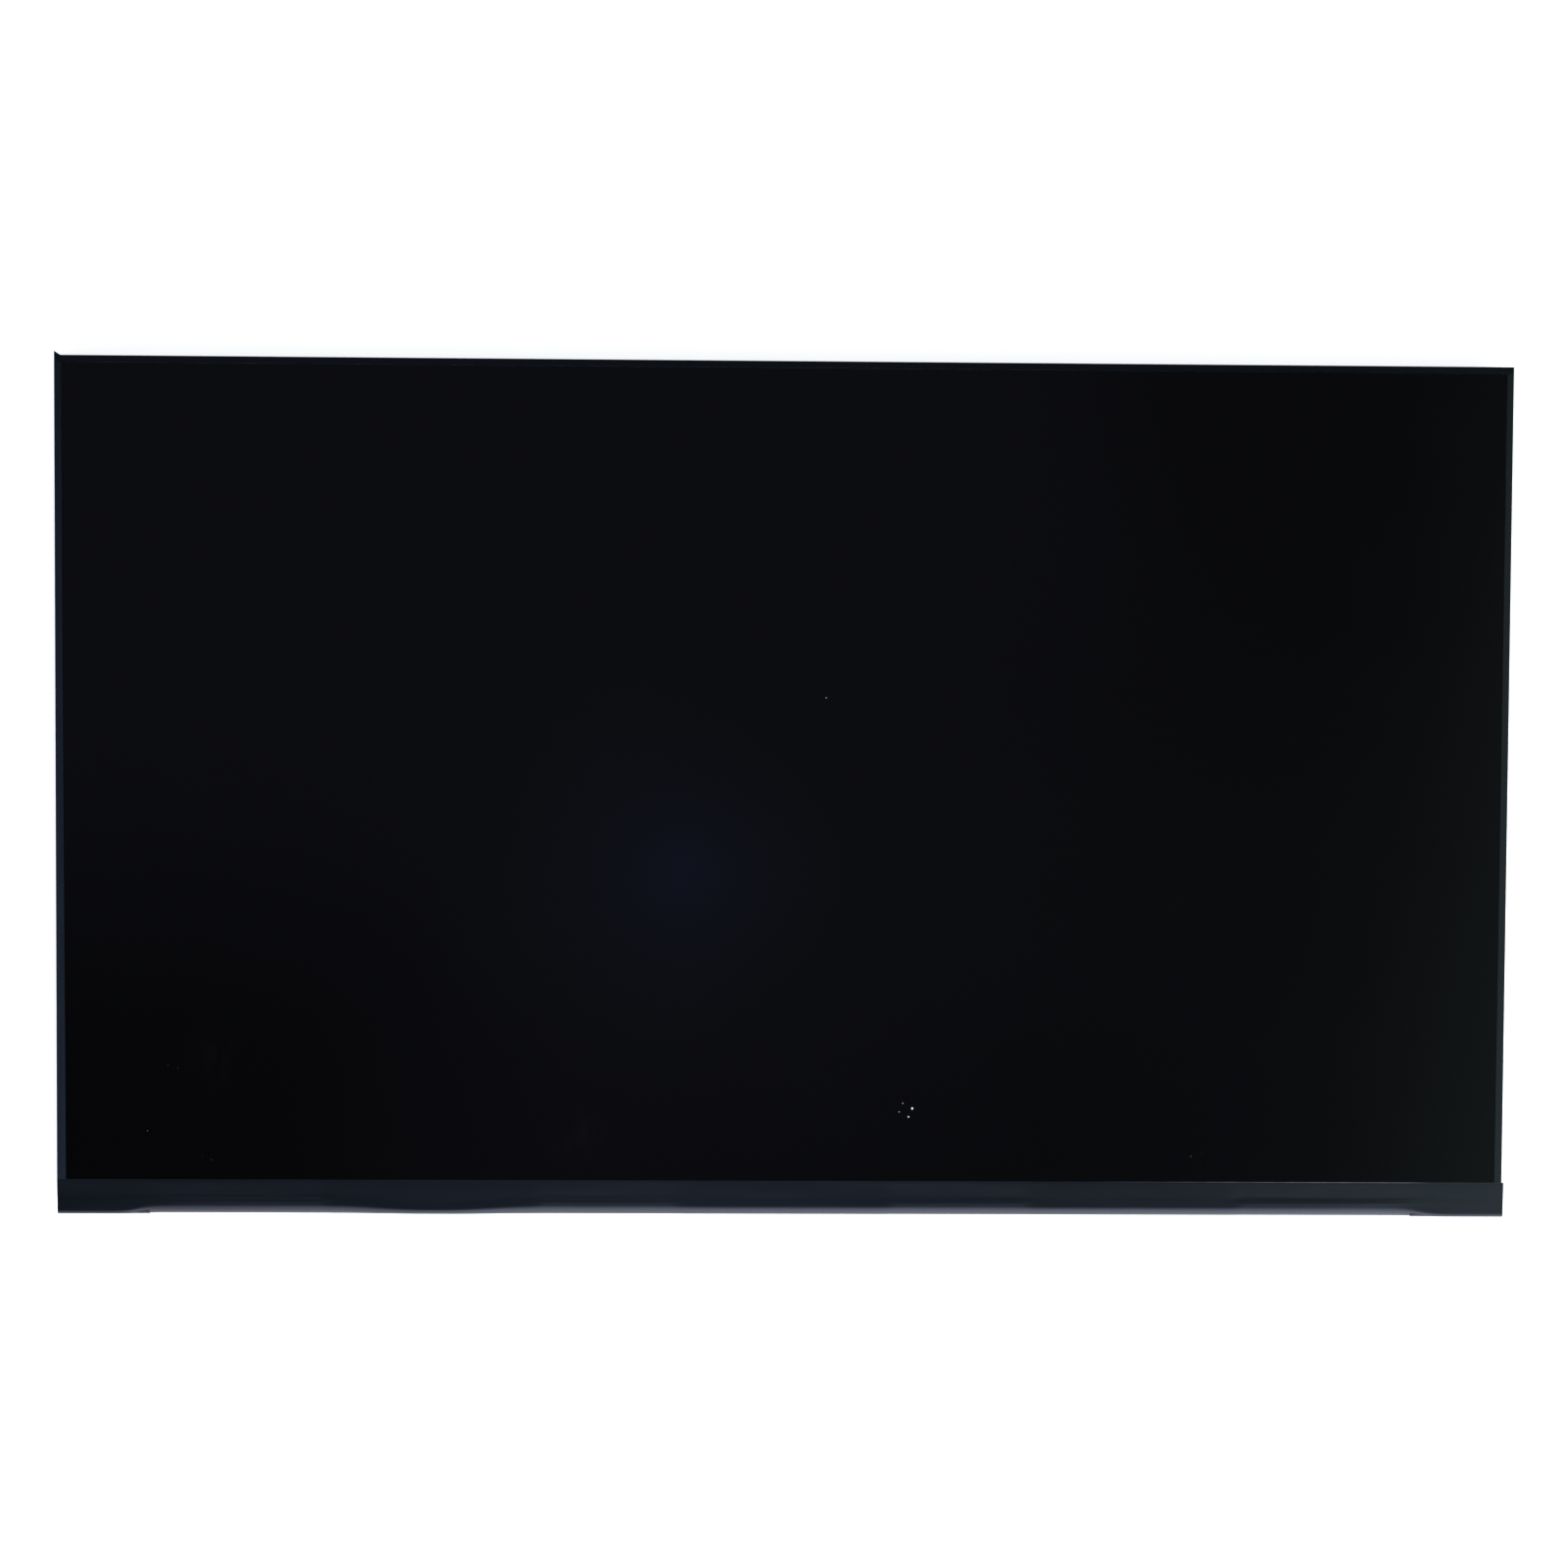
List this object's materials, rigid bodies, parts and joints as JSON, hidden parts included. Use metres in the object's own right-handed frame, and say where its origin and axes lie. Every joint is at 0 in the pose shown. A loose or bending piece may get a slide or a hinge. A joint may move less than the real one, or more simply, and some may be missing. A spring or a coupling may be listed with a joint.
{
  "type": "laptop screen panel",
  "caption": "Bare flat display module for a laptop lid: dark matte screen in taped narrow borders, metal back cover, narrow circuit board and video socket behind its bottom edge.",
  "frame": {"origin": "under the middle of the outline, on the surface that the panel lies on", "axes": "+X to the right of the picture, +Y to the picture's top edge, +Z out of the screen"},
  "size_m": [0.3162, 0.187, 0.0041],
  "materials": {
    "screen_face": "anti-glare hard coat over a dark polariser",
    "cell_glass": "polished thin display glass",
    "polariser_film": "smooth dark film",
    "inner_tape": "black double-sided tape",
    "optical_film": "clear film with fine prisms",
    "diffuser_film": "milky film",
    "guide_acrylic": "clear polished plastic",
    "reflector_film": "white film",
    "flex_circuit": "pale coated flexible circuit",
    "lamp_body": "white moulding",
    "frame_plastic": "fine-grained black moulding",
    "cover_metal": "rolled sheet, satin",
    "board_mask": "green solder mask",
    "chip_epoxy": "moulded epoxy",
    "coil_ferrite": "pressed powder",
    "capacitor_ceramic": "fired ceramic with tinned ends",
    "resistor_body": "coated chip with tinned ends",
    "connector_plastic": "natural heat-proof moulding",
    "connector_steel": "tinned sheet",
    "contact_gold": "gold-flashed",
    "driver_polyimide": "amber polyimide film",
    "driver_silicon": "bare silicon",
    "wrap_tape": "black satin film tape",
    "edge_tape": "black satin film tape"
  },
  "bodies": {
    "root": {"front_polariser": "screen_face", "colour_filter_glass": "cell_glass", "array_glass": "cell_glass", "rear_polariser": "polariser_film", "cell_tape": "inner_tape", "board_adhesive": "inner_tape", "upper_prism_sheet": "optical_film", "lower_prism_sheet": "optical_film", "diffuser_sheet": "diffuser_film", "light_guide_plate": "guide_acrylic", "reflector_sheet": "reflector_film", "light_strip": "flex_circuit", "light_packages": "lamp_body", "moulded_frame": "frame_plastic", "back_cover": "cover_metal", "source_board": "board_mask", "timing_chip": "chip_epoxy", "memory_chip": "chip_epoxy", "power_chip": "chip_epoxy", "buffer_chip": "chip_epoxy", "level_chip": "chip_epoxy", "backlight_chip": "chip_epoxy", "converter_coils": "coil_ferrite", "board_capacitors": "capacitor_ceramic", "board_resistors": "resistor_body", "board_diodes": "chip_epoxy", "connector_housing": "connector_plastic", "connector_shell": "connector_steel", "connector_contacts": "contact_gold", "bottom_tape": "wrap_tape", "left_edge_tape": "edge_tape", "right_edge_tape": "edge_tape", "top_edge_tape": "edge_tape", "driver_film_1": "driver_polyimide", "driver_chip_1": "driver_silicon", "driver_film_2": "driver_polyimide", "driver_chip_2": "driver_silicon", "driver_film_3": "driver_polyimide", "driver_chip_3": "driver_silicon", "driver_film_4": "driver_polyimide", "driver_chip_4": "driver_silicon"}
  },
  "joints": []
}
